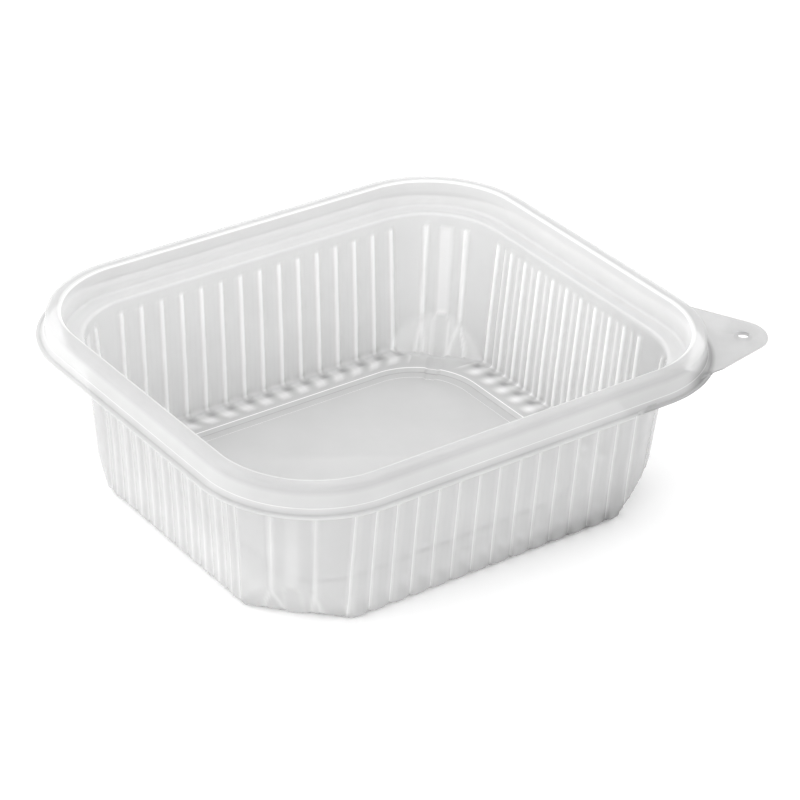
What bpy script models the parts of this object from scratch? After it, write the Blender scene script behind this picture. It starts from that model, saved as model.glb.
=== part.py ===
"""Clear meal tub: one thin-walled moulding with a snap rim, ribbed walls and a corner tab.

Length runs along X and width along Y.  The tub stands on Z = 0 and opens upwards.
Every loop round the tub is a rounded rectangle, given by how far it lies inside the
mouth line, by its height and by its corner radius.
"""
import math

import bmesh
import bpy
from mathutils import Vector

MM = 0.001

# Mouth line: the inner top edge of the rim.
MOUTH_HALF_LENGTH = 72.5 * MM
MOUTH_HALF_WIDTH = 62.5 * MM
HEIGHT = 50.4 * MM
SHEET = 0.6 * MM

# Floor: a raised panel, a narrow standing groove and a ledge at the foot of the walls.
PANEL_INSET = 24.4 * MM
PANEL_TOP = 1.6 * MM
PANEL_RADIUS = 17.2 * MM
GROOVE_WIDTH = 3.0 * MM
LEDGE_INSET = 19.0 * MM
LEDGE_TOP = 1.3 * MM
WALL_FOOT_INSET = 9.8 * MM

# Walls
WALL_RADIUS = 25.5 * MM
WALL_LOW_INSET = 8.8 * MM
WALL_HIGH_INSET = 6.0 * MM
WALL_LOW = 2.8 * MM
WALL_HIGH = 41.8 * MM
RIB_TOP = 39.9 * MM
RIB_FADE = 1.6 * MM

# Ribs: narrow ridges standing inwards from the walls.
RIB_HEIGHT = 0.9 * MM
RIB_HALF_FOOT = 0.9 * MM
LONG_RIBS = 15
LONG_PITCH = 6.5 * MM
SHORT_RIBS = 11
SHORT_PITCH = 6.3 * MM
CORNER_RIB_ANGLES = (29.5, 54.3)
CORNER_RIB_HALF_ANGLE = 2.0
SIDE_END_ANGLE = 18.0

# Slanted flats across the bottom corners, measured along the diagonal of a corner.
FLAT_TOP = 12.0 * MM
FLAT_HIGH_REACH = 73.4 * MM
FLAT_LOW_REACH = 68.0 * MM

# Rim
SEAT_TOP = 42.6 * MM
SEAT_INSET = 1.2 * MM
BAND_TOP_INSET = 0.3 * MM
MOUTH_RADIUS = 27.4 * MM
RIM_WIDTH = 3.5 * MM
SKIRT_FOOT = 44.6 * MM
SKIRT_REACH = 4.3 * MM
LIP_TOP = 43.2 * MM
LIP_REACH = 6.55 * MM

# Corner tab: the lip drawn out round one corner, with a round hole near its end
TAB_CENTRE = (84.4 * MM, -52.2 * MM)
TAB_END_RADIUS = 7.6 * MM
TAB_END_TURNS = (-75.0, 45.0)
TAB_END_STEPS = 9
TAB_HOLE_RADIUS = 1.5 * MM

# The tab reaches past the rim, so the whole is moved to stand centred on the origin.
OFF_CENTRE = (TAB_CENTRE[0] + TAB_END_RADIUS - MOUTH_HALF_LENGTH - LIP_REACH) / 2


def clear_scene():
    for item in list(bpy.data.objects):
        bpy.data.objects.remove(item, do_unlink=True)


def rib_steps(count, pitch):
    """Positions along a straight side, each with its share of the rib height."""
    steps = []
    for index in range(count):
        middle = (index - (count - 1) / 2) * pitch
        steps.append((middle - RIB_HALF_FOOT, 0.0))
        steps.append((middle, 1.0))
        steps.append((middle + RIB_HALF_FOOT, 0.0))
    return steps


def plain_steps(count, pitch, furthest):
    """The few positions a smooth loop needs along the same side."""
    end = min((count - 1) / 2 * pitch + RIB_HALF_FOOT, furthest)
    inner = end - pitch
    return [(-end, 0.0), (-inner, 0.0), (0.0, 0.0), (inner, 0.0), (end, 0.0)]


def corner_steps(start, end):
    """Angles round one corner in degrees, each with its share of the rib height."""
    low, high = CORNER_RIB_ANGLES
    half = CORNER_RIB_HALF_ANGLE
    steps = [((start + low - half) / 2, 0.0)]
    steps += [(low - half, 0.0), (low, 1.0), (low + half, 0.0)]
    steps += [((low + high) / 2, 0.0)]
    steps += [(high - half, 0.0), (high, 1.0), (high + half, 0.0)]
    steps += [((high + half + end) / 2, 0.0)]
    return steps


def on_side(along, half, reach, radius):
    """Point and outward direction on a side, following the corner curve past its start."""
    start = half - radius
    past = abs(along) - start
    if past <= 0.0:
        return Vector((along, reach)), Vector((0.0, 1.0))
    rise = math.sqrt(max(radius * radius - past * past, 0.0))
    outward = Vector((math.copysign(past, along), rise)) / radius
    return Vector((along, reach - radius + rise)), outward


def quarter(half_x, half_y, radius, long_steps, short_steps):
    """Points of one quarter, from the middle of the +X side to the middle of the +Y side."""
    points = []
    centre = Vector((half_x - radius, half_y - radius))
    for along, rib in [step for step in short_steps if step[0] > 0.0]:
        point, outward = on_side(along, half_y, half_x, radius)
        points.append((Vector((point.y, point.x)), Vector((outward.y, outward.x)), rib))
    start = math.degrees(math.atan2(points[-1][0].y - centre.y, points[-1][0].x - centre.x))
    side = []
    for along, rib in [step for step in long_steps if step[0] > 0.0]:
        point, outward = on_side(along, half_x, half_y, radius)
        side.append((point, outward, rib))
    side.reverse()
    end = math.degrees(math.atan2(side[0][0].y - centre.y, side[0][0].x - centre.x))
    for angle, rib in corner_steps(start, end):
        turn = math.radians(angle)
        outward = Vector((math.cos(turn), math.sin(turn)))
        points.append((centre + outward * radius, outward, rib))
    return points + side


def outline(inset, radius, ribbed):
    """A full loop round the tub as (point, outward direction, rib share)."""
    half_x = MOUTH_HALF_LENGTH - inset
    half_y = MOUTH_HALF_WIDTH - inset
    if ribbed:
        long_steps = rib_steps(LONG_RIBS, LONG_PITCH)
        short_steps = rib_steps(SHORT_RIBS, SHORT_PITCH)
    else:
        furthest_x = half_x - radius + radius * math.sin(math.radians(SIDE_END_ANGLE))
        furthest_y = half_y - radius + radius * math.sin(math.radians(SIDE_END_ANGLE))
        long_steps = plain_steps(LONG_RIBS, LONG_PITCH, furthest_x)
        short_steps = plain_steps(SHORT_RIBS, SHORT_PITCH, furthest_y)
    first = quarter(half_x, half_y, radius, long_steps, short_steps)
    middle_x = [step for step in long_steps if step[0] == 0.0]
    middle_y = [step for step in short_steps if step[0] == 0.0]
    loop = []
    loop.append((Vector((half_x, 0.0)), Vector((1.0, 0.0)), middle_y[0][1]))
    loop += first
    loop.append((Vector((0.0, half_y)), Vector((0.0, 1.0)), middle_x[0][1]))
    for point, outward, rib in reversed(first):
        loop.append((Vector((-point.x, point.y)), Vector((-outward.x, outward.y)), rib))
    back = [(Vector((-p.x, -p.y)), Vector((-n.x, -n.y)), rib) for p, n, rib in loop]
    return loop + back


def stations():
    """Section of the sheet's upper face: (inset, height, corner radius, ribbed, rib share)."""
    groove_far = PANEL_INSET - 0.8 * MM - GROOVE_WIDTH
    lean = (WALL_LOW_INSET - WALL_HIGH_INSET) / (WALL_HIGH - WALL_LOW)
    flat_inset = WALL_LOW_INSET - lean * (FLAT_TOP - WALL_LOW)
    rib_inset = WALL_LOW_INSET - lean * (RIB_TOP - RIB_FADE - WALL_LOW)
    fade_inset = WALL_LOW_INSET - lean * (RIB_TOP - WALL_LOW)
    return [
        (PANEL_INSET, PANEL_TOP, PANEL_RADIUS, False, 0.0),
        (PANEL_INSET - 0.8 * MM, SHEET, PANEL_RADIUS, False, 0.0),
        (groove_far, SHEET, PANEL_RADIUS + 1.0 * MM, False, 0.0),
        (LEDGE_INSET + 0.8 * MM, LEDGE_TOP - 0.5 * MM, PANEL_RADIUS + 2.0 * MM, False, 0.0),
        (LEDGE_INSET, LEDGE_TOP, PANEL_RADIUS + 2.5 * MM, False, 0.0),
        (WALL_FOOT_INSET, LEDGE_TOP + 0.1 * MM, WALL_RADIUS - 1.0 * MM, True, 0.0),
        (WALL_LOW_INSET, WALL_LOW, WALL_RADIUS, True, 1.0),
        (flat_inset, FLAT_TOP, WALL_RADIUS, True, 1.0),
        (rib_inset, RIB_TOP - RIB_FADE, WALL_RADIUS, True, 1.0),
        (fade_inset, RIB_TOP, WALL_RADIUS, True, 0.0),
        (WALL_HIGH_INSET, WALL_HIGH, WALL_RADIUS, False, 0.0),
        (WALL_HIGH_INSET - 0.8 * MM, SEAT_TOP - 0.1 * MM, WALL_RADIUS, False, 0.0),
        (SEAT_INSET, SEAT_TOP, MOUTH_RADIUS - 1.0 * MM, False, 0.0),
        (SEAT_INSET - 0.4 * MM, SEAT_TOP + 0.9 * MM, MOUTH_RADIUS - 0.8 * MM, False, 0.0),
        (BAND_TOP_INSET, HEIGHT - 1.5 * MM, MOUTH_RADIUS - 0.4 * MM, False, 0.0),
        (0.0, HEIGHT - 0.3 * MM, MOUTH_RADIUS, False, 0.0),
        (-0.7 * MM, HEIGHT, MOUTH_RADIUS + 0.7 * MM, False, 0.0),
        (0.9 * MM - RIM_WIDTH, HEIGHT, MOUTH_RADIUS + 2.6 * MM, False, 0.0),
        (-RIM_WIDTH, HEIGHT - 0.8 * MM, MOUTH_RADIUS + RIM_WIDTH, False, 0.0),
        (-SKIRT_REACH, SKIRT_FOOT, MOUTH_RADIUS + SKIRT_REACH, False, 0.0),
        (-SKIRT_REACH - 0.9 * MM, LIP_TOP + 0.2 * MM, MOUTH_RADIUS + 5.2 * MM, False, 0.0),
        (-LIP_REACH, LIP_TOP, MOUTH_RADIUS + LIP_REACH, False, 0.0),
    ]


def sheet_offsets(section):
    """Step from the upper to the lower face at each station, keeping the sheet thickness."""
    path = [Vector((-inset, height)) for inset, height, _, _, _ in section]
    sides = []
    for near, far in zip(path, path[1:]):
        run = (far - near).normalized()
        sides.append(Vector((run.y, -run.x)))
    offsets = [Vector((0.0, -SHEET))]
    for before, after in zip(sides, sides[1:]):
        bisector = (before + after).normalized()
        offsets.append(bisector * SHEET / max(bisector.dot(before), 0.5))
    offsets.append(sides[-1] * SHEET)
    return offsets


def flat_reach(height):
    """Furthest reach along a corner diagonal allowed at this height."""
    share = (height - LEDGE_TOP) / (FLAT_TOP - LEDGE_TOP)
    return FLAT_LOW_REACH + (FLAT_HIGH_REACH - FLAT_LOW_REACH) * min(max(share, 0.0), 1.0)


def cut_corner(point, reach):
    """Move a point back to the slanted flat of its corner when it lies beyond it."""
    diagonal = Vector((math.copysign(1.0, point.x), math.copysign(1.0, point.y))).normalized()
    beyond = point.dot(diagonal) - reach
    return point - diagonal * beyond if beyond > 0.0 else point


def place_loop(mesh, station, offset):
    """Add one loop of vertices for a station, moved by the sheet offset."""
    inset, height, radius, ribbed, share = station
    corner_cut = LEDGE_TOP < height <= FLAT_TOP + 0.01 * MM
    loop = []
    for point, outward, rib in outline(inset, radius, ribbed):
        flat = point - outward * (RIB_HEIGHT * rib * share)
        if corner_cut:
            flat = cut_corner(flat, flat_reach(height) - 0.35 * RIB_HEIGHT * rib * share)
        flat = flat + outward * offset.x
        loop.append(mesh.verts.new((flat.x, flat.y, height + offset.y)))
    return loop


def nearest(loop, vert):
    """Index of the loop vertex that stands closest to another vertex."""
    return min(range(len(loop)), key=lambda k: (loop[k].co.xy - vert.co.xy).length)


def join_loops(mesh, near, far, flip):
    """Skin between two loops of the same or of different density."""
    if len(near) == len(far):
        for index in range(len(near)):
            after = (index + 1) % len(near)
            face = [near[index], near[after], far[after], far[index]]
            mesh.faces.new(reversed(face) if flip else face)
        return
    coarse, fine = (near, far) if len(near) < len(far) else (far, near)
    marks = [nearest(fine, vert) for vert in coarse]
    for index in range(len(coarse)):
        after = (index + 1) % len(coarse)
        first = marks[index]
        last = marks[after]
        span = (last - first) % len(fine)
        strip = [fine[(first + step) % len(fine)] for step in range(span + 1)]
        face = [coarse[after], coarse[index]] + strip
        turned = flip if coarse is near else not flip
        mesh.faces.new(face if turned else reversed(face))


def build_tub(material):
    section = stations()
    offsets = sheet_offsets(section)
    mesh = bmesh.new()
    upper = [place_loop(mesh, station, Vector((0.0, 0.0))) for station in section]
    lower = [place_loop(mesh, station, offset) for station, offset in zip(section, offsets)]
    draw_out_tab(upper[-1])
    draw_out_tab(lower[-1])
    mesh.faces.new(upper[0])
    mesh.faces.new(reversed(lower[0]))
    for index in range(len(section) - 1):
        join_loops(mesh, upper[index], upper[index + 1], True)
        join_loops(mesh, lower[index], lower[index + 1], False)
    join_loops(mesh, upper[-1], lower[-1], True)
    bmesh.ops.triangulate(mesh, faces=[face for face in mesh.faces if len(face.verts) > 4])
    bmesh.ops.translate(mesh, verts=mesh.verts, vec=(-OFF_CENTRE, 0.0, 0.0))
    bmesh.ops.recalc_face_normals(mesh, faces=mesh.faces)
    for face in mesh.faces:
        face.smooth = True
    data = bpy.data.meshes.new("tub")
    mesh.to_mesh(data)
    mesh.free()
    data.materials.append(material)
    tub = bpy.data.objects.new("tub", data)
    bpy.context.collection.objects.link(tub)
    return tub


def draw_out_tab(loop):
    """Move the lip vertices of the +X -Y corner out to the outline of the tab."""
    corner = Vector((MOUTH_HALF_LENGTH - MOUTH_RADIUS, MOUTH_RADIUS - MOUTH_HALF_WIDTH))
    chosen = []
    for vert in loop:
        gap = vert.co.xy - corner
        if gap.x > 0.0 and gap.y < 0.0:
            chosen.append((math.atan2(gap.y, gap.x), vert))
    chosen.sort(key=lambda pair: pair[0])
    verts = [vert for _, vert in chosen]
    centre = Vector(TAB_CENTRE)
    start, end = [math.radians(turn) for turn in TAB_END_TURNS]
    spare = len(verts) - TAB_END_STEPS
    before = (spare + 1) // 2
    first = verts[0].co.xy.copy()
    last = verts[-1].co.xy.copy()
    tip_start = centre + Vector((math.cos(start), math.sin(start))) * TAB_END_RADIUS
    tip_end = centre + Vector((math.cos(end), math.sin(end))) * TAB_END_RADIUS
    for index, vert in enumerate(verts):
        if index < before:
            place = first.lerp(tip_start, index / before)
        elif index < before + TAB_END_STEPS:
            share = (index - before) / (TAB_END_STEPS - 1)
            turn = start + (end - start) * share
            place = centre + Vector((math.cos(turn), math.sin(turn))) * TAB_END_RADIUS
        else:
            share = (index - before - TAB_END_STEPS + 1) / (spare - before)
            place = tip_end.lerp(last, share)
        vert.co.x = place.x
        vert.co.y = place.y


def build_hole_cutter():
    mesh = bmesh.new()
    bmesh.ops.create_cone(
        mesh,
        cap_ends=True,
        segments=20,
        radius1=TAB_HOLE_RADIUS,
        radius2=TAB_HOLE_RADIUS,
        depth=6.0 * MM,
    )
    place = (TAB_CENTRE[0] - OFF_CENTRE, TAB_CENTRE[1], LIP_TOP)
    bmesh.ops.translate(mesh, verts=mesh.verts, vec=place)
    data = bpy.data.meshes.new("hole_cutter")
    mesh.to_mesh(data)
    mesh.free()
    cutter = bpy.data.objects.new("hole_cutter", data)
    bpy.context.collection.objects.link(cutter)
    cutter.hide_render = True
    cutter.display_type = "WIRE"
    return cutter


def clear_plastic():
    material = bpy.data.materials.new("clear_plastic")
    material.use_nodes = True
    shader = material.node_tree.nodes["Principled BSDF"]
    shader.inputs["Base Color"].default_value = (0.86, 0.87, 0.87, 1.0)
    shader.inputs["Roughness"].default_value = 0.22
    shader.inputs["Metallic"].default_value = 0.0
    return material


def main():
    clear_scene()
    material = clear_plastic()
    tub = build_tub(material)
    cut = tub.modifiers.new("tab_hole", "BOOLEAN")
    cut.operation = "DIFFERENCE"
    cut.solver = "EXACT"
    cut.object = build_hole_cutter()


main()
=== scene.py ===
"""Finished look of a clear ribbed meal tub with a holed corner tab, on a pale studio floor."""

from __future__ import annotations

import logging
import math
from dataclasses import dataclass, field, replace
from enum import Enum
import bmesh
import bpy
from mathutils import Matrix, Vector


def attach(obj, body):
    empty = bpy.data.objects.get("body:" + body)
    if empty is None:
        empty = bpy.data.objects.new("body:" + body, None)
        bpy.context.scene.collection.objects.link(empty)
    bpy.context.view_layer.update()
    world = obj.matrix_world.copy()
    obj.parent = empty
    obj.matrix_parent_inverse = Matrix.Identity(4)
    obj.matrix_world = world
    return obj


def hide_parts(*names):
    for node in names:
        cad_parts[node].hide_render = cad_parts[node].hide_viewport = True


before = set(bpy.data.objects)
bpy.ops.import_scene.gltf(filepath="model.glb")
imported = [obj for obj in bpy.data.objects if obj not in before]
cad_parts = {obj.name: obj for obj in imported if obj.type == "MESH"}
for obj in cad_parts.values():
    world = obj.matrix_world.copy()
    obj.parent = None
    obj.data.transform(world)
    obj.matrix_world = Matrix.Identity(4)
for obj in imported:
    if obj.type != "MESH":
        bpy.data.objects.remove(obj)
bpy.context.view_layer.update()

LOG = logging.getLogger("meal_tub")
MM = 0.001
# Vertex layers of painted light and painted shade, for the upper face and for the outer face.
LAYERS = ("light", "painted_shade", "outer_painted_light", "outer_painted_shade")


def smooth(low: float, high: float, value: float) -> float:
    """Smooth step from 0 at low to 1 at high."""
    share = min(max((value - low) / (high - low), 0.0), 1.0)
    return share * share * (3.0 - 2.0 * share)


class Part(Enum):
    """Which part of a loop a point belongs to."""

    SIDE = "side"
    CORNER = "corner"


@dataclass(frozen=True)
class Step:
    """One position along half a side, measured from the side's middle."""

    along: float
    from_rib: float
    pitch: float
    doubled: bool


@dataclass(frozen=True)
class Place:
    """A point of a loop with what the section needs to shape it."""

    point: Vector
    outward: Vector
    kind: Part
    from_rib: float
    pitch: float = 0.0
    doubled: bool = False
    from_arch: float = 1.0


@dataclass(frozen=True)
class Bend:
    """A bend of the sheet's upper face, seen in section.

    inset is the distance inside the mouth line, radius rounds the bend, and corner
    is the plan radius of the tub's corners at that height. cuts is the number of
    spans up to the next bend; its light and shade values are a painted highlight
    and painted shade along the bend, shown in the clear plastic.
    """

    inset: float
    height: float
    radius: float
    corner: float
    cuts: int = 1
    light: float = 0.0
    painted_shade: float = 0.0


@dataclass(frozen=True)
class Station:
    """One loop of the sheet: where it lies in section and which way is inwards."""

    inset: float
    height: float
    corner: float
    inward: Vector
    # Painted highlight and painted shade carried over from the bend.
    light: float
    painted_shade: float


@dataclass
class TubForm:
    """Sizes, plan, section and relief of the sheet's upper face."""

    half_length: float = 72.5 * MM
    half_width: float = 62.5 * MM
    height: float = 50.4 * MM
    off_centre: float = 6.475 * MM
    wall_radius: float = 22.5 * MM
    mouth_radius: float = 27.4 * MM
    panel_top: float = 1.6 * MM
    groove_top: float = 0.6 * MM
    ledge_top: float = 1.0 * MM
    lip_top: float = 43.2 * MM
    lip_reach: float = 6.55 * MM
    # Ribs: positions, form, and the insets over which their feet fade.
    long_ribs: int = 15
    long_pitch: float = 6.5 * MM
    short_ribs: int = 11
    short_pitch: float = 6.3 * MM
    side_margin: float = 1.6 * MM
    corner_ribs: tuple[float, float] = (27.1, 57.3)
    rib_height: float = 0.65 * MM
    rib_width: float = 0.7 * MM
    rib_top: float = 39.9 * MM
    rib_fade: float = 1.6 * MM
    rib_foot: tuple[float, float] = (9.3 * MM, 10.4 * MM)
    bead_share: float = 0.6
    wall_inset: float = 5.0 * MM
    wall_clearance: float = 1.5 * MM
    # Forked feet of the corner ribs, and how far each of the two spreads.
    spread_top: float = 11.5 * MM
    spread: tuple[float, float] = (2.6 * MM, 1.2 * MM)
    # Shallow bulges between ribs and small pockets at their feet.
    flute_depth: float = 0.25 * MM
    flute_above: float = 1.0 * MM
    flute_fade: float = 4.0 * MM
    flute_foot: tuple[float, float] = (10.5 * MM, 15.0 * MM)
    pocket_depth: float = 0.4 * MM
    pocket_height: float = 6.0 * MM
    pocket_start: tuple[float, float] = (9.2 * MM, 10.2 * MM)
    pocket_end: tuple[float, float] = (12.0 * MM, 14.0 * MM)
    # Arched recess and slanted flat low in each corner.
    arch_top: float = 12.0 * MM
    arch_half: float = 2.3 * MM
    arch_depth: float = 0.4 * MM
    arch_edge: tuple[float, float] = (0.5 * MM, -0.8 * MM)
    flat_top: float = 12.0 * MM
    flat_high_reach: float = 74.7 * MM
    flat_low_reach: float = 67.8 * MM
    flat_strength: float = 0.88
    flat_outer_inset: float = 15.0 * MM
    # How finely the mesh is cut.
    corner_cuts: int = 40
    corner_overlap: float = 27.0
    plain_shares: tuple[float, ...] = (-0.36, -0.14, -0.07, 0.0, 0.07, 0.14, 0.36)
    doubled_shares: tuple[float, ...] = (-0.4, -0.26, -0.14, -0.07, 0.0, 0.07, 0.14, 0.26, 0.4, 0.5)
    slack: float = 0.01 * MM
    bend_room: float = 0.48
    degrees_per_span: float = 18.0
    bends: list[Bend] = field(init=False)

    def __post_init__(self) -> None:
        """Fill in the section, from the floor panel out to the lip."""
        wall = self.wall_radius
        mouth = self.mouth_radius
        ledge = self.ledge_top
        lip = self.lip_top
        self.bends = [
            # Light and shade values on the bends are painted highlight lines and painted shade lines.
            # Raised floor panel and the groove round it.
            Bend(24.8 * MM, self.panel_top, 0.0, 17.0 * MM),
            Bend(24.4 * MM, self.panel_top, 0.35 * MM, 17.2 * MM, light=0.9),
            Bend(23.6 * MM, self.groove_top, 0.4 * MM, 17.6 * MM, cuts=2, painted_shade=0.95),
            Bend(20.6 * MM, self.groove_top, 0.5 * MM, 19.4 * MM, painted_shade=0.8),
            # Ledge, foot of the wall, and the wall itself.
            Bend(19.4 * MM, ledge + 0.5 * MM, 0.6 * MM, 20.2 * MM, cuts=7, light=0.8),
            Bend(9.0 * MM, ledge, 0.9 * MM, wall - 0.8 * MM, cuts=9),
            Bend(8.25 * MM, 13.6 * MM, 0.0, wall - 0.5 * MM, cuts=4),
            Bend(6.4 * MM, 37.6 * MM, 0.0, wall, cuts=4),
            # Seat for the lid, and the band up to the mouth.
            Bend(6.0 * MM, 42.7 * MM, 0.8 * MM, wall, cuts=2),
            Bend(3.6 * MM, 42.4 * MM, 0.0, (wall + mouth) / 2, cuts=2),
            Bend(1.2 * MM, 42.5 * MM, 0.9 * MM, mouth - 0.8 * MM, cuts=3),
            Bend(0.2 * MM, self.height, 0.9 * MM, mouth, cuts=2, light=0.42),
            # Rim top, leaning skirt and lip.
            Bend(-3.5 * MM, self.height, 1.5 * MM, mouth + 3.4 * MM, cuts=3),
            Bend(-4.3 * MM, lip + 1.4 * MM, 0.6 * MM, mouth + 4.2 * MM, light=0.3),
            Bend(-5.2 * MM, lip + 0.2 * MM, 0.5 * MM, mouth + 5.1 * MM, painted_shade=0.1),
            Bend(-self.lip_reach, lip, 0.0, mouth + self.lip_reach),
        ]

    # ---- plan -------------------------------------------------------------------

    def side_steps(self, count: int, pitch: float, doubled: bool) -> list[Step]:
        """Positions along the positive half of a side.

        Args:
            count: Ribs on the whole side, an odd number.
            pitch: Distance between ribs.
            doubled: Whether a lower bead runs between each two ribs.

        Returns:
            Steps from the middle of the side to its end.
        """
        last = (count - 1) // 2
        steps = []
        for index in range(last + 1):
            for share in self.doubled_shares if doubled else self.plain_shares:
                gap = share * pitch
                inside = index < last or gap < self.side_margin
                if inside and index * pitch + gap > -self.slack:
                    steps.append(Step(index * pitch + gap, gap, pitch, doubled and index < last))
        steps.append(Step(last * pitch + self.side_margin, self.side_margin, pitch, False))
        return steps

    def on_side(self, along: float, half: float, reach: float, radius: float) -> tuple[Vector, Vector]:
        """Point and outward direction on a side, following the corner past its start.

        Args:
            along: Distance from the middle of the side.
            half: Half length of the side's full rectangle.
            reach: Distance of the side from the middle of the tub.
            radius: Corner radius.

        Returns:
            The point and its outward direction.
        """
        past = along - (half - radius)
        if past <= 0.0:
            return Vector((along, reach)), Vector((0.0, 1.0))
        rise = math.sqrt(max(radius * radius - past * past, 0.0))
        outward = Vector((past, rise)) / radius
        return Vector((along, reach - radius + rise)), outward

    def end_share(self, last: float, half: float, radius: float) -> float:
        """How far a side's steps must be drawn together to leave room for the corner.

        Args:
            last: Distance of the side's last step from its middle.
            half: Half length of the side's full rectangle.
            radius: Corner radius.

        Returns:
            Factor for every step of the side, at most 1.
        """
        room = half - radius + radius * math.sin(math.radians(self.corner_overlap))
        return min(room / last, 1.0)

    def side(self, steps: list[Step], half: float, reach: float, radius: float) -> list[Place]:
        """Places along half a side, drawn together where the corner needs the room.

        Args:
            steps: Positions along the side.
            half: Half length of the side's full rectangle.
            reach: Distance of the side from the middle of the tub.
            radius: Corner radius.

        Returns:
            The places from the side's middle to its end, as if the side faced +Y.
        """
        share = self.end_share(steps[-1].along, half, radius)
        places = []
        for step in steps:
            point, outward = self.on_side(step.along * share, half, reach, radius)
            places.append(Place(point, outward, Part.SIDE, step.from_rib, step.pitch, step.doubled))
        return places

    def quarter(self, inset: float, radius: float) -> list[Place]:
        """Places of one quarter, from the middle of the +X side to that of the +Y side.

        Args:
            inset: Distance inside the mouth line.
            radius: Corner radius.

        Returns:
            The places in order.
        """
        half_x = self.half_length - inset
        half_y = self.half_width - inset
        short = self.side(self.side_steps(self.short_ribs, self.short_pitch, True), half_y, half_x, radius)
        long = self.side(self.side_steps(self.long_ribs, self.long_pitch, False), half_x, half_y, radius)
        lower = [replace(place, point=place.point.yx, outward=place.outward.yx) for place in short]
        upper = long[::-1]
        centre = Vector((half_x - radius, half_y - radius))
        start = math.atan2(lower[-1].point.y - centre.y, lower[-1].point.x - centre.x)
        end = math.atan2(upper[0].point.y - centre.y, upper[0].point.x - centre.x)
        middle = []
        for index in range(1, self.corner_cuts):
            turn = start + (end - start) * index / self.corner_cuts
            outward = Vector((math.cos(turn), math.sin(turn)))
            gaps = [(turn - math.radians(rib)) * self.wall_radius for rib in self.corner_ribs]
            arch = (turn - math.radians(sum(self.corner_ribs) / 2)) * self.wall_radius
            point = centre + outward * radius
            middle.append(Place(point, outward, Part.CORNER, min(gaps, key=abs), from_arch=arch))
        return lower + middle + upper

    def loop(self, inset: float, radius: float) -> list[Place]:
        """The whole loop of places at one inset.

        Args:
            inset: Distance inside the mouth line.
            radius: Corner radius.

        Returns:
            Places counterclockwise from the middle of the +X side.
        """
        first = self.quarter(inset, radius)
        second = [self.turned(place, -1.0, 1.0) for place in reversed(first[:-1])]
        third = [self.turned(place, -1.0, -1.0) for place in first[1:]]
        fourth = [self.turned(place, 1.0, -1.0) for place in reversed(first[1:-1])]
        return first + second + third + fourth

    def turned(self, place: Place, across_x: float, across_y: float) -> Place:
        """A place mirrored into another quarter."""
        point = Vector((place.point.x * across_x, place.point.y * across_y))
        outward = Vector((place.outward.x * across_x, place.outward.y * across_y))
        return replace(place, point=point, outward=outward)

    # ---- section ----------------------------------------------------------------

    def bend_marks(self) -> list[tuple[Vector, float, int, float]]:
        """Points of the section at the bends, each bend rounded.

        Returns:
            For each point its place, corner radius, bend number and share of the
            bend's painted highlight and painted shade.
        """
        marks = []
        bends = self.bends
        for index, bend in enumerate(bends):
            here = Vector((-bend.inset, bend.height))
            if index in (0, len(bends) - 1) or bend.radius == 0.0:
                marks.append((here, bend.corner, index, 0.0))
                continue
            back = Vector((-bends[index - 1].inset, bends[index - 1].height)) - here
            ahead = Vector((-bends[index + 1].inset, bends[index + 1].height)) - here
            turn = math.pi - back.angle(ahead)
            room = self.bend_room
            cut = min(bend.radius * math.tan(turn / 2), room * back.length, room * ahead.length)
            first = here + back.normalized() * cut
            last = here + ahead.normalized() * cut
            pieces = max(2, round(math.degrees(turn) / self.degrees_per_span))
            for part in range(pieces + 1):
                share = part / pieces
                spot = first * (1 - share) ** 2 + here * 2 * share * (1 - share) + last * share**2
                marks.append((spot, bend.corner, index, math.sin(math.pi * share)))
        return marks

    def stations(self) -> list[Station]:
        """The section as a chain of stations, filled in between the bends."""
        marks = self.bend_marks()
        filled = []
        for near, far in zip(marks, marks[1:]):
            filled.append(near)
            cuts = self.bends[near[2]].cuts if near[2] != far[2] else 1
            for part in range(1, cuts):
                share = part / cuts
                corner = near[1] + (far[1] - near[1]) * share
                filled.append((near[0].lerp(far[0], share), corner, near[2], 0.0))
        filled.append(marks[-1])
        chain = []
        for index, (spot, corner, number, strength) in enumerate(filled):
            before = filled[max(index - 1, 0)][0]
            after = filled[min(index + 1, len(filled) - 1)][0]
            way = (after - before).normalized()
            inward = Vector((-way.y, way.x))
            bend = self.bends[number]
            shown = (bend.light * strength, bend.painted_shade * strength)
            chain.append(Station(-spot.x, spot.y, corner, inward, *shown))
        return chain

    # ---- relief -----------------------------------------------------------------

    def on_wall(self, station: Station) -> bool:
        """Whether a station lies on the ribbed wall or its foot."""
        return self.wall_inset < station.inset and station.height < self.rib_top + self.wall_clearance

    def rib_share(self, station: Station) -> float:
        """How much of a rib's height stands at a station."""
        if not self.on_wall(station):
            return 0.0
        top = smooth(0.0, self.rib_fade, self.rib_top - station.height)
        return top * (1.0 - smooth(*self.rib_foot, station.inset))

    def flute_share(self, station: Station) -> float:
        """How much of the shallow bulge between ribs shows at a station."""
        if not self.on_wall(station):
            return 0.0
        top = smooth(0.0, self.flute_fade, self.rib_top + self.flute_above - station.height)
        return top * (1.0 - smooth(*self.flute_foot, station.inset))

    def pocket_share(self, station: Station) -> float:
        """How deep the small pocket at a rib's foot is at a station."""
        if station.height > self.pocket_height:
            return 0.0
        rise = smooth(*self.pocket_start, station.inset)
        return rise * (1.0 - smooth(*self.pocket_end, station.inset))

    def wave(self, place: Place) -> float:
        """0 on a rib, 1 midway between two ribs."""
        return math.sin(math.pi * place.from_rib / place.pitch) ** 2 if place.pitch else 1.0

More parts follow.
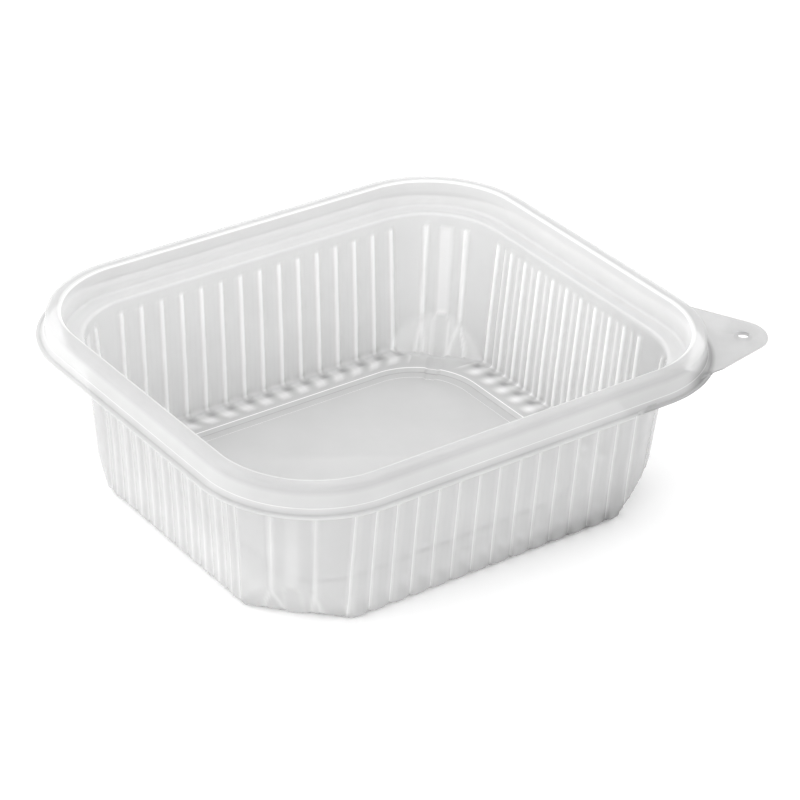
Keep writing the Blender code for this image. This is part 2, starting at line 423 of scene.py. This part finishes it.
    def crest(self, place: Place, station: Station) -> float:
        """How near a point is to the top of a rib, from 0 to 1."""
        gap = abs(place.from_rib)
        if place.kind is Part.CORNER:
            below = (self.spread_top - station.height) / (self.spread_top - self.ledge_top)
            gap = abs(gap - self.spread[place.from_arch > 0.0] * smooth(0.0, 1.0, below))
        ridge = math.exp(-((gap / self.rib_width) ** 2))
        if place.doubled:
            from_bead = abs(place.from_rib) - place.pitch / 2
            ridge += self.bead_share * math.exp(-((from_bead / self.rib_width) ** 2))
        return ridge * self.rib_share(station)

    def arch(self, place: Place, station: Station) -> float:
        """Distance outside the arched recess low in a corner, negative inside it."""
        if place.kind is not Part.CORNER or not self.on_wall(station):
            return self.wall_inset
        rise = max(station.height - (self.arch_top - self.arch_half), 0.0)
        return math.hypot(place.from_arch, rise) - self.arch_half

    def relief(self, place: Place, station: Station) -> float:
        """Distance that the sheet stands inwards of its plain face.

        Args:
            place: Position round the tub.
            station: Position in section.

        Returns:
            The distance, negative where the sheet bulges outwards.
        """
        inwards = self.rib_height * self.crest(place, station)
        if place.kind is Part.SIDE:
            wave = self.wave(place)
            inwards -= self.flute_depth * wave * self.flute_share(station)
            inwards -= self.pocket_depth * (1.0 - wave) ** 2 * self.pocket_share(station)
        else:
            inwards -= self.arch_depth * smooth(*self.arch_edge, self.arch(place, station))
        return inwards

    def flat_reach(self, height: float) -> float:
        """Furthest reach along a corner's diagonal allowed at a height."""
        share = (height - self.ledge_top) / (self.flat_top - self.ledge_top)
        share = min(max(share, 0.0), 1.0)
        return self.flat_low_reach + (self.flat_high_reach - self.flat_low_reach) * share

    def cut_corner(self, point: Vector, reach: float) -> Vector:
        """Draw a plan point back towards the slanted flat of its corner."""
        diagonal = Vector((math.copysign(1.0, point.x), math.copysign(1.0, point.y))).normalized()
        beyond = point.dot(diagonal) - reach
        return point - diagonal * beyond * self.flat_strength if beyond > 0.0 else point

    def spot(self, place: Place, station: Station) -> Vector:
        """Final position of a place at a station."""
        inwards = self.relief(place, station)
        point = place.point + place.outward * (inwards * station.inward.x)
        at_foot = self.wall_inset < station.inset < self.flat_outer_inset
        if at_foot and station.height < self.flat_top:
            point = self.cut_corner(point, self.flat_reach(station.height))
        height = station.height + inwards * station.inward.y
        return Vector((point.x - self.off_centre, point.y, height))


@dataclass(frozen=True)
class PaintedLightAndShade:
    """Painted highlights and painted shade that the clear plastic shows over the sheet.

    The plain numbers are strengths from 0 to 1, and the pairs are the heights or
    insets between which a mark comes or goes.
    """

    form: TubForm
    # Painted highlights along the rib crests, inside and out, weaker on the forked feet of the corner
    # ribs.
    rib: float = 1.2
    fork: float = 0.45
    fork_end: tuple[float, float] = (9.5 * MM, 12.5 * MM)
    outer_rib: float = 0.5
    outer_corner_rib: float = 0.2
    # Painted light on the band below the mouth.
    band: float = 0.5
    band_inset: float = 1.2 * MM
    band_heights: tuple[float, float] = (43.5 * MM, 47.0 * MM)
    # Painted light on the skirt.
    skirt: float = 0.12
    skirt_inset: float = -3.5 * MM
    skirt_heights: tuple[float, float] = (44.3 * MM, 49.0 * MM)
    # Painted shade on the lip.
    lip: float = 0.25
    lip_insets: tuple[float, float] = (-5.4 * MM, -4.9 * MM)
    # Painted highlight along the lip's edge.
    lip_edge: float = 0.3
    lip_edge_width: float = 0.2 * MM
    # Painted shade in the crease where the tab meets the rim.
    root: float = 0.8
    root_inset: float = -3.6 * MM
    root_foot: float = -4.6 * MM
    root_rise: float = 1.0 * MM
    root_ends: tuple[float, float] = (8.0 * MM, 14.0 * MM)
    # Painted light over the floor inside the tub.
    floor: float = 0.25
    floor_insets: tuple[float, float] = (12.0 * MM, 15.0 * MM)
    # Painted light on petals between the rib feet and painted shade in the pockets at the rib feet.
    petal: float = 0.55
    petal_start: tuple[float, float] = (9.8 * MM, 11.5 * MM)
    petal_end: tuple[float, float] = (15.5 * MM, 18.0 * MM)
    pocket: float = 0.45
    pocket_inset: float = 8.0 * MM
    pocket_foot: float = 10.2 * MM
    pocket_heights: tuple[float, float] = (1.4 * MM, 3.6 * MM)
    # Painted shade low on the outer front side, deeper towards +X, with shade spots in line with the ribs.
    low_shade: float = 0.45
    low_shade_heights: tuple[float, float] = (3.0 * MM, 18.0 * MM)
    low_shade_along: tuple[float, float] = (-35.0 * MM, 45.0 * MM)
    low_shade_front: float = 0.6
    shade_spots: float = 0.6
    shade_spot_heights: tuple[float, float] = (2.0 * MM, 6.5 * MM)
    # Painted light on the outer foot of the end without the tab.
    glow: float = 0.14
    glow_along: tuple[float, float] = (-0.5, -0.75)
    glow_heights: tuple[float, float] = (4.0 * MM, 24.0 * MM)
    # Painted shade on the inner wall towards the corner under the tab.
    end: float = 0.35
    end_from: float = 0.75
    end_across: tuple[float, float] = (-0.2, -0.7)
    # Painted highlight round the arched recess, and painted shade inside it.
    arch_line: float = 0.35
    outer_arch_line: float = 0.06
    arch_line_width: float = 0.5 * MM
    arch_shade: float = 0.15
    arch_shade_edge: tuple[float, float] = (-0.2 * MM, -1.4 * MM)
    # Painted highlight: a bright band up each corner between its two ribs, above the arch.
    corner_highlight: float = 0.6
    corner_highlight_edge: tuple[float, float] = (1.2 * MM, 2.6 * MM)

    def tab_root(self, place: Place, station: Station) -> float:
        """Painted shade in the crease where the tab meets the rim."""
        at_tab = place.kind is Part.CORNER and place.point.x > 0.0 > place.point.y
        if not at_tab or station.inset > self.root_inset:
            return 0.0
        form = self.form
        low = smooth(form.height, form.lip_top + self.root_rise, station.height)
        side = 1.0 - smooth(*self.root_ends, abs(place.from_arch))
        return self.root * low * side * smooth(-form.lip_reach, self.root_foot, station.inset)

    def lip_shade(self, station: Station) -> float:
        """Painted shade on the lip."""
        return self.lip * (1.0 - smooth(*self.lip_insets, station.inset))

    def rim_light(self, station: Station) -> float:
        """Painted light on the skirt and painted highlight on the lip's edge."""
        low, high = self.skirt_heights
        on_skirt = station.inset < self.skirt_inset and low < station.height < high
        on_edge = station.inset < self.lip_edge_width - self.form.lip_reach
        return self.skirt * on_skirt + self.lip_edge * on_edge

    def band_light(self, station: Station) -> float:
        """Painted light on the band below the mouth."""
        on_band = 0.0 < station.inset < self.band_inset
        return self.band * smooth(*self.band_heights, station.height) * on_band

    def petals(self, place: Place, station: Station) -> tuple[float, float]:
        """Painted light on petals and painted shade in pockets along the foot of a side."""
        low = station.height <= self.form.pocket_height and station.inset >= self.pocket_inset
        if place.kind is not Part.SIDE or not low:
            return 0.0, 0.0
        wave = self.form.wave(place)
        deep = 1.0 - smooth(*self.pocket_heights, station.height)
        if station.inset > self.pocket_foot:
            deep = self.form.pocket_share(station)
        petal = smooth(*self.petal_start, station.inset)
        petal *= 1.0 - smooth(*self.petal_end, station.inset)
        return self.petal * wave * petal, self.pocket * (1.0 - wave) * deep

    def foot_shade(self, place: Place, station: Station) -> float:
        """Painted shade on the outer foot of the front side, with shade spots in line with the ribs."""
        front = place.point.y <= -self.low_shade_front * self.form.half_width
        if not front or not self.form.on_wall(station):
            return 0.0
        along = smooth(*self.low_shade_along, place.point.x)
        low_shade = self.low_shade * (1.0 - smooth(*self.low_shade_heights, station.height))
        shade_spots = self.shade_spots * (1.0 - smooth(*self.shade_spot_heights, station.height))
        if place.kind is Part.CORNER:
            shade_spots = 0.0
        return along * (low_shade + shade_spots * (1.0 - self.form.wave(place)))

    def foot_glow(self, place: Place, station: Station) -> float:
        """Painted light on the outer foot of the end without the tab."""
        if not self.form.on_wall(station):
            return 0.0
        end = smooth(*self.glow_along, place.point.x / self.form.half_length)
        return self.glow * end * (1.0 - smooth(*self.glow_heights, station.height))

    def end_shade(self, place: Place, station: Station) -> float:
        """Painted shade on the inner wall towards the corner under the tab."""
        at_end = place.point.x >= self.end_from * self.form.half_length
        if not at_end or not self.form.on_wall(station):
            return 0.0
        return self.end * smooth(*self.end_across, place.point.y / self.form.half_width)

    def upper(self, place: Place, station: Station) -> tuple[float, float]:
        """Painted light and painted shade on the upper face at a point.

        Args:
            place: Position round the tub.
            station: Position in section.

        Returns:
            The painted light and painted shade shares, each from 0 to 1.
        """
        form = self.form
        stands = form.rib_share(station)
        arch = form.arch(place, station)
        petal, pocket = self.petals(place, station)
        # Painted highlight along the rib crest.
        rib = self.rib * form.crest(place, station)
        if place.kind is Part.CORNER:
            rib *= self.fork + (1.0 - self.fork) * smooth(*self.fork_end, station.height)
        light = station.light + rib + petal + self.band_light(station) + self.rim_light(station)
        light += self.floor * smooth(*self.floor_insets, station.inset)
        light += self.arch_line * math.exp(-((arch / self.arch_line_width) ** 2)) * stands
        if place.kind is Part.CORNER and station.height > form.arch_top:
            light += self.corner_highlight * stands * (1.0 - smooth(*self.corner_highlight_edge, abs(place.from_arch)))
        painted_shade = station.painted_shade + pocket + self.lip_shade(station) + self.tab_root(place, station)
        painted_shade += self.end_shade(place, station)
        painted_shade += self.arch_shade * smooth(*self.arch_shade_edge, arch) * stands
        return min(light, 1.0), min(painted_shade, 1.0)

    def outer(self, place: Place, station: Station) -> tuple[float, float]:
        """Painted light and painted shade on the outer face at a point.

        Args:
            place: Position round the tub.
            station: Position in section.

        Returns:
            The painted light and painted shade shares, each from 0 to 1.
        """
        form = self.form
        arch = form.arch(place, station)
        rib = self.outer_rib if place.kind is Part.SIDE else self.outer_corner_rib
        light = station.light + rib * form.crest(place, station)
        light += self.rim_light(station) + self.foot_glow(place, station)
        line = math.exp(-((arch / self.arch_line_width) ** 2))
        light += self.outer_arch_line * line * form.rib_share(station)
        painted_shade = station.painted_shade + self.lip_shade(station) + self.tab_root(place, station)
        painted_shade += self.foot_shade(place, station)
        return min(light, 1.0), min(painted_shade, 1.0)


@dataclass
class SheetMesh:
    """The sheet's mesh while it is being drawn out from the floor panel."""

    mesh: bmesh.types.BMesh

    def grow(self, ring: list[bmesh.types.BMVert]) -> list[bmesh.types.BMVert]:
        """Extrude the open edge of the sheet by one loop.

        Args:
            ring: Vertices of its open edge in order.

        Returns:
            The new open edge in the same order.
        """
        edges = [self.mesh.edges.get((vert, ring[(k + 1) % len(ring)])) for k, vert in enumerate(ring)]
        made = bmesh.ops.extrude_edge_only(self.mesh, edges=edges)
        fresh = {item for item in made["geom"] if isinstance(item, bmesh.types.BMVert)}
        grown = []
        for vert in ring:
            grown.append(next(e.other_vert(vert) for e in vert.link_edges if e.other_vert(vert) in fresh))
        return grown

    def mark(self, verts: list[bmesh.types.BMVert], names: tuple[str, ...], value: float) -> None:
        """Set the same value on some vertices' painted light and shade layers."""
        for name in names:
            layer = self.mesh.verts.layers.float[name]
            for vert in verts:
                vert[layer] = value


@dataclass
class CornerTab:
    """The flat tab drawn out of the lip at one corner, with its raised hole."""

    form: TubForm
    centre: tuple[float, float] = (83.6 * MM, -50.6 * MM)
    radius: float = 8.8 * MM
    near_start: float = 34.0 * MM
    far_start: float = -22.0 * MM
    edge_spans: int = 10
    end_spans: int = 24
    hole: tuple[float, float] = (84.3 * MM, -52.7 * MM)
    hole_radius: float = 1.5 * MM
    collar_radius: float = 2.6 * MM
    collar_rise: float = 0.9 * MM
    collar_roll: float = 0.62
    collar_spans: int = 4
    hole_points: int = 32
    # Painted shade over the tab, its collar and the lip at its root.
    shade: float = 0.33
    unshaded_ends: int = 2

    def span(self, ring: list[bmesh.types.BMVert]) -> tuple[int, int]:
        """Indices of the lip vertices that the tab's two edges leave from."""
        form = self.form
        near = Vector((self.near_start - form.off_centre, -form.half_width - form.lip_reach))
        far = Vector((form.half_length + form.lip_reach - form.off_centre, self.far_start))
        first = min(range(len(ring)), key=lambda k: (ring[k].co.xy - near).length)
        last = min(range(len(ring)), key=lambda k: (ring[k].co.xy - far).length)
        return first, last

    def outline(self, first: Vector, last: Vector) -> list[Vector]:
        """Outline of the tab between two points of the lip.

        Args:
            first: Where the edge nearer the front leaves the lip.
            last: Where the other edge leaves the lip.

        Returns:
            The points from last to first, leaving those two out.
        """
        centre = Vector((self.centre[0] - self.form.off_centre, self.centre[1]))
        turns = []
        for end, sign in ((last, -1.0), (first, 1.0)):
            gap = end - centre
            turns.append(math.atan2(gap.y, gap.x) + sign * math.acos(self.radius / gap.length))
        start, finish = turns
        while finish > start:
            finish -= 2.0 * math.pi
        rounded = []
        for k in range(self.end_spans + 1):
            turn = start + (finish - start) * k / self.end_spans
            rounded.append(centre + Vector((math.cos(turn), math.sin(turn))) * self.radius)
        shares = [k / self.edge_spans for k in range(1, self.edge_spans)]
        out = [last.lerp(rounded[0], share) for share in shares]
        back = [rounded[-1].lerp(first, share) for share in shares]
        return out + rounded + back

    def add(self, sheet: SheetMesh, ring: list[bmesh.types.BMVert]) -> None:
        """Fill the flat tab between the lip's edge, its own outline and its collar.

        Args:
            sheet: The sheet, open at the lip.
            ring: Vertices of the lip's edge in order.
        """
        mesh = sheet.mesh
        level = ring[0].co.z
        first, last = self.span(ring)
        lip = [ring[(first + k) % len(ring)] for k in range((last - first) % len(ring) + 1)]
        edges = [mesh.edges.get(pair) for pair in zip(lip, lip[1:])]
        points = self.outline(lip[0].co.xy, lip[-1].co.xy)
        edge = [mesh.verts.new((point.x, point.y, level)) for point in points]
        chain = [lip[-1], *edge, lip[0]]
        edges += [mesh.edges.new(pair) for pair in zip(chain, chain[1:])]
        centre = Vector((self.hole[0] - self.form.off_centre, self.hole[1], level))
        collar = bmesh.ops.create_circle(
            mesh,
            cap_ends=False,
            segments=self.hole_points,
            radius=self.collar_radius,
            matrix=Matrix.Translation(centre),
        )["verts"]
        edges += list({edge for vert in collar for edge in vert.link_edges})
        bmesh.ops.triangle_fill(mesh, use_beauty=True, use_dissolve=False, edges=edges)
        # Painted shade over the tab, and no painted light on the lip at its root.
        shaded = lip[self.unshaded_ends : -self.unshaded_ends]
        sheet.mark(edge + list(collar) + shaded, ("painted_shade", "outer_painted_shade"), self.shade)
        sheet.mark(shaded, ("light", "outer_painted_light"), 0.0)
        self.raise_collar(sheet, list(collar), centre)

    def raise_collar(self, sheet: SheetMesh, ring: list[bmesh.types.BMVert], centre: Vector) -> None:
        """Raise a small rounded collar round the hole.

        Args:
            sheet: The sheet with its tab filled.
            ring: Vertices of the collar's foot in order.
            centre: Middle of the collar at the tab's level.
        """
        for step in range(1, self.collar_spans + 1):
            share = step / self.collar_spans
            ring = sheet.grow(ring)
            radius = self.collar_radius + (self.hole_radius - self.collar_radius) * share
            rise = self.collar_rise * math.sin(math.pi * share * self.collar_roll)
            for vert in ring:
                spoke = (vert.co.xy - centre.xy).normalized() * radius
                vert.co = Vector((centre.x + spoke.x, centre.y + spoke.y, centre.z + rise))


@dataclass
class TubSheet:
    """The whole formed sheet: floor, ribbed walls, snap rim, lip and corner tab."""

    form: TubForm = field(default_factory=TubForm)
    thickness: float = 0.6 * MM
    edge_round: float = 0.2 * MM
    start_radius: float = 0.01

    def draw(self, sheet: SheetMesh) -> list[bmesh.types.BMVert]:
        """Draw the upper face out from the floor panel to the lip.

        Args:
            sheet: The empty sheet, with its layers of painted light and shade.

        Returns:
            Vertices of the lip's edge in order.
        """
        form = self.form
        marks = PaintedLightAndShade(form)
        layers = [sheet.mesh.verts.layers.float[name] for name in LAYERS]
        chain = form.stations()
        loops = [form.loop(station.inset, station.corner) for station in chain]
        start = bmesh.ops.create_circle(
            sheet.mesh, cap_ends=True, segments=len(loops[0]), radius=self.start_radius
        )
        ring = list(start["verts"])
        for index, (station, places) in enumerate(zip(chain, loops)):
            if index:
                ring = sheet.grow(ring)
            for vert, place in zip(ring, places):
                vert.co = form.spot(place, station)
                # Painted light and shade for the upper face, then for the outer face.
                shown = (*marks.upper(place, station), *marks.outer(place, station))
                for layer, value in zip(layers, shown):
                    vert[layer] = value
        return ring

    def thicken(self, mesh: bmesh.types.BMesh) -> None:
        """Thicken the sheet below its upper face, round its open edges and level its foot.

        Args:
            mesh: The sheet as a single skin. Its upper faces end up numbered 1.
        """
        bmesh.ops.recalc_face_normals(mesh, faces=mesh.faces)
        floor = max(mesh.faces, key=lambda face: len(face.verts))
        if floor.normal.z < 0.0:
            bmesh.ops.reverse_faces(mesh, faces=mesh.faces)
        skin = set(mesh.faces)
        open_edges = [edge for edge in mesh.edges if len(edge.link_faces) == 1]
        bmesh.ops.solidify(mesh, geom=list(mesh.faces), thickness=self.thickness)
        for face in mesh.faces:
            face.material_index = int(face in skin)
        walls = {face for edge in open_edges for face in edge.link_faces if face not in skin}
        edges = [
            edge
            for edge in {edge for face in walls for edge in face.edges}
            if len([face for face in edge.link_faces if face in walls]) == 1
        ]
        bmesh.ops.bevel(
            mesh,
            geom=edges,
            offset=self.edge_round,
            offset_type="OFFSET",
            affect="EDGES",
            segments=2,
            profile=0.5,
            material=-1,
        )
        for vert in mesh.verts:
            vert.co.z = max(vert.co.z, 0.0)

    def mark_outside(self, mesh: bmesh.types.BMesh) -> None:
        """Move the outer face's own painted light and shade into place and forget which face is which.

        Args:
            mesh: The thickened sheet, its upper faces numbered 1.
        """
        light, painted_shade, outer_painted_light, outer_painted_shade = (mesh.verts.layers.float[name] for name in LAYERS)
        for vert in mesh.verts:
            if not any(face.material_index for face in vert.link_faces):
                vert[light] = vert[outer_painted_light]
                vert[painted_shade] = vert[outer_painted_shade]
        for face in mesh.faces:
            face.material_index = 0
        for name in LAYERS[2:]:
            mesh.verts.layers.float.remove(mesh.verts.layers.float[name])

    def build(self) -> bpy.types.Object:
        """Make the sheet as one closed mesh and dress it.

        Returns:
            The tub's object, at the origin.
        """
        mesh = bmesh.new()
        for name in LAYERS:
            mesh.verts.layers.float.new(name)
        sheet = SheetMesh(mesh)
        CornerTab(self.form).add(sheet, self.draw(sheet))
        self.thicken(mesh)
        self.mark_outside(mesh)
        for face in mesh.faces:
            face.smooth = True
        data = bpy.data.meshes.new("tub_sheet")
        mesh.to_mesh(data)
        mesh.free()
        data.materials.append(SheetPlastic().material())
        tub = bpy.data.objects.new("tub_sheet", data)
        bpy.context.collection.objects.link(tub)
        return tub


@dataclass(frozen=True)
class SheetPlastic:
    """Clear, slightly milky formed plastic.

    The milk values are its paleness where plain, under painted light and under
    painted shade, and the body values are how much it hides: face on, more at a
    glance, under painted light and under painted shade.
    """

    milk: float = 0.56
    light_milk: float = 1.0
    dark_milk: float = 0.15
    body: float = 0.50
    edge_body: float = 0.12
    edge_blend: float = 0.35
    light_body: float = 0.45
    dark_body: float = 0.25
    cloud: float = 0.08
    cloud_scale: float = 70.0
    cloud_detail: float = 3.0
    grain: float = 0.1
    grain_scale: float = 260.0
    grain_detail: float = 4.0
    grain_height: float = 0.4 * MM
    roughness: float = 0.22
    refraction: float = 1.49

    def value(self, tree: bpy.types.NodeTree, kind: str, *given: object) -> bpy.types.NodeSocket:
        """Add one sum or product.

        Args:
            tree: The material's nodes.
            kind: Name of the operation.
            given: Its inputs, each a socket or a plain number.

        Returns:
            The result's socket.
        """
        node = tree.nodes.new("ShaderNodeMath")
        node.operation = kind
        for slot, value in zip(node.inputs, given):
            if isinstance(value, bpy.types.NodeSocket):
                tree.links.new(value, slot)
            else:
                slot.default_value = value
        return node.outputs[0]

    def attribute(self, tree: bpy.types.NodeTree, name: str) -> bpy.types.NodeSocket:
        """Read one of the sheet's own marks."""
        node = tree.nodes.new("ShaderNodeAttribute")
        node.attribute_name = name
        return node.outputs["Fac"]

    def noise(self, tree: bpy.types.NodeTree, scale: float, detail: float) -> bpy.types.NodeSocket:
        """Fine unevenness that stays fixed to the sheet."""
        where = tree.nodes.new("ShaderNodeTexCoord")
        node = tree.nodes.new("ShaderNodeTexNoise")
        node.inputs["Scale"].default_value = scale
        node.inputs["Detail"].default_value = detail
        tree.links.new(where.outputs["Object"], node.inputs["Vector"])
        return node.outputs["Fac"]

    def material(self) -> bpy.types.Material:
        """Build the node material.

        Returns:
            The material.
        """
        material = bpy.data.materials.new("sheet_plastic")
        material.use_nodes = True
        tree = material.node_tree
        tree.nodes.clear()
        output = tree.nodes.new("ShaderNodeOutputMaterial")
        shader = tree.nodes.new("ShaderNodeBsdfPrincipled")
        clear = tree.nodes.new("ShaderNodeBsdfTransparent")
        mix = tree.nodes.new("ShaderNodeMixShader")
        facing = tree.nodes.new("ShaderNodeLayerWeight")
        facing.inputs["Blend"].default_value = self.edge_blend
        light = self.attribute(tree, "light")
        painted_shade = self.attribute(tree, "painted_shade")

        # Base colour: cloudy milk, raised by painted light and lowered by painted shade.
        cloud = self.noise(tree, self.cloud_scale, self.cloud_detail)
        plain = self.value(tree, "MULTIPLY_ADD", cloud, self.cloud, self.milk - self.cloud / 2)
        lighter = self.value(tree, "MULTIPLY_ADD", light, self.light_milk - self.milk, plain)
        darker = self.value(tree, "MULTIPLY", painted_shade, self.milk - self.dark_milk)
        tone = self.value(tree, "SUBTRACT", lighter, darker)
        tree.links.new(tone, shader.inputs["Base Color"])

        # Opacity: more at a glance, and more under painted light and painted shade.
        edge = self.value(tree, "MULTIPLY_ADD", facing.outputs["Facing"], self.edge_body, self.body)
        marked = self.value(tree, "MULTIPLY_ADD", light, self.light_body, edge)
        shaded = self.value(tree, "MULTIPLY_ADD", painted_shade, self.dark_body, marked)
        shaded.node.use_clamp = True
        tree.links.new(shaded, mix.inputs["Fac"])
        tree.links.new(clear.outputs["BSDF"], mix.inputs[1])
        tree.links.new(shader.outputs["BSDF"], mix.inputs[2])
        tree.links.new(mix.outputs["Shader"], output.inputs["Surface"])

        shader.inputs["Roughness"].default_value = self.roughness
        shader.inputs["IOR"].default_value = self.refraction
        bump = tree.nodes.new("ShaderNodeBump")
        bump.inputs["Strength"].default_value = self.grain
        bump.inputs["Distance"].default_value = self.grain_height
        tree.links.new(self.noise(tree, self.grain_scale, self.grain_detail), bump.inputs["Height"])
        tree.links.new(bump.outputs["Normal"], shader.inputs["Normal"])
        return material


@dataclass(frozen=True)
class StudioFloor:
    """The pale floor the tub stands on."""

    size: float = 4.0
    spans: int = 8
    drop: float = 0.2 * MM
    colour: tuple[float, float, float] = (0.97, 0.97, 0.97)
    roughness: float = 0.8

    def build(self) -> bpy.types.Object:
        """Make the floor.

        Returns:
            The floor's object.
        """
        mesh = bmesh.new()
        bmesh.ops.create_grid(mesh, x_segments=self.spans, y_segments=self.spans, size=self.size)
        data = bpy.data.meshes.new("studio_floor")
        mesh.to_mesh(data)
        mesh.free()
        material = bpy.data.materials.new("pale_floor")
        material.use_nodes = True
        shader = material.node_tree.nodes["Principled BSDF"]
        shader.inputs["Base Color"].default_value = (*self.colour, 1.0)
        shader.inputs["Roughness"].default_value = self.roughness
        data.materials.append(material)
        floor = bpy.data.objects.new("studio_floor", data)
        floor.location.z = -self.drop
        bpy.context.collection.objects.link(floor)
        return floor


def away(azimuth: float, elevation: float) -> Vector:
    """Direction from the tub, with 0,0 straight out of its front."""
    turn = math.radians(azimuth)
    rise = math.radians(elevation)
    return Vector((math.sin(turn) * math.cos(rise), -math.cos(turn) * math.cos(rise), math.sin(rise)))


@dataclass(frozen=True)
class SoftBox:
    """One soft lamp, aimed at the tub."""

    name: str
    azimuth: float
    elevation: float
    distance: float
    size: float
    power: float

    def build(self, target: Vector) -> bpy.types.Object:
        """Hang the lamp.

        Args:
            target: Point it shines at.

        Returns:
            The lamp's object.
        """
        data = bpy.data.lights.new(self.name, "AREA")
        data.shape = "DISK"
        data.size = self.size
        data.energy = self.power
        direction = away(self.azimuth, self.elevation)
        lamp = bpy.data.objects.new(self.name, data)
        lamp.location = target + direction * self.distance
        lamp.rotation_euler = direction.to_track_quat("Z", "Y").to_euler()
        bpy.context.collection.objects.link(lamp)
        return lamp


@dataclass(frozen=True)
class StudioCamera:
    """The camera, looking down at the near corner from a little way off."""

    azimuth: float = -36.39
    elevation: float = 30.36
    roll: float = 1.76
    distance: float = 0.8195
    lens: float = 136.55
    sensor: float = 36.0
    near_limit: float = 0.01
    target: tuple[float, float, float] = (-0.006475, 0.0, 0.030)
    shift: tuple[float, float] = (0.0322, -0.0220)

    def build(self) -> bpy.types.Object:
        """Place the camera and make it the scene's own.

        Returns:
            The camera's object.
        """
        turn = math.radians(self.azimuth)
        back = away(self.azimuth, self.elevation)
        right = Vector((math.cos(turn), math.sin(turn), 0.0))
        up = back.cross(right)
        spin = math.radians(self.roll)
        level = right * math.cos(spin) + up * math.sin(spin)
        top = up * math.cos(spin) - right * math.sin(spin)
        data = bpy.data.cameras.new("studio_camera")
        data.lens = self.lens
        data.sensor_width = self.sensor
        data.shift_x, data.shift_y = self.shift
        data.clip_start = self.near_limit
        camera = bpy.data.objects.new("studio_camera", data)
        turned = Matrix((level, top, back)).transposed().to_4x4()
        camera.matrix_world = Matrix.Translation(Vector(self.target) + back * self.distance) @ turned
        bpy.context.collection.objects.link(camera)
        bpy.context.scene.camera = camera
        return camera


@dataclass
class Studio:
    """Floor, lamps, surrounding light and camera."""

    middle: tuple[float, float, float] = (0.0, 0.0, 0.03)
    surround: float = 1.34
    lamps: tuple[SoftBox, ...] = (
        SoftBox("left_box", -98.0, 34.0, 1.1, 1.4, 4.0),
        SoftBox("back_box", 165.0, 60.0, 1.2, 1.2, 2.0),
    )

    def build(self) -> None:
        """Set up everything round the tub."""
        StudioFloor().build()
        world = bpy.data.worlds.new("studio")
        world.use_nodes = True
        background = world.node_tree.nodes["Background"]
        background.inputs["Color"].default_value = (1.0, 1.0, 1.0, 1.0)
        background.inputs["Strength"].default_value = self.surround
        bpy.context.scene.world = world
        for lamp in self.lamps:
            lamp.build(Vector(self.middle))
        StudioCamera().build()
        bpy.context.scene.view_settings.view_transform = "Standard"


def main() -> None:
    """Build the tub, dress it and set up the studio."""
    logging.basicConfig(level=logging.INFO, format="%(message)s")
    tub = TubSheet().build()
    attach(tub, "root")
    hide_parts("tub")
    LOG.info("%s: %d faces", tub.name, len(tub.data.polygons))
    Studio().build()


if __name__ == "__main__":
    main()
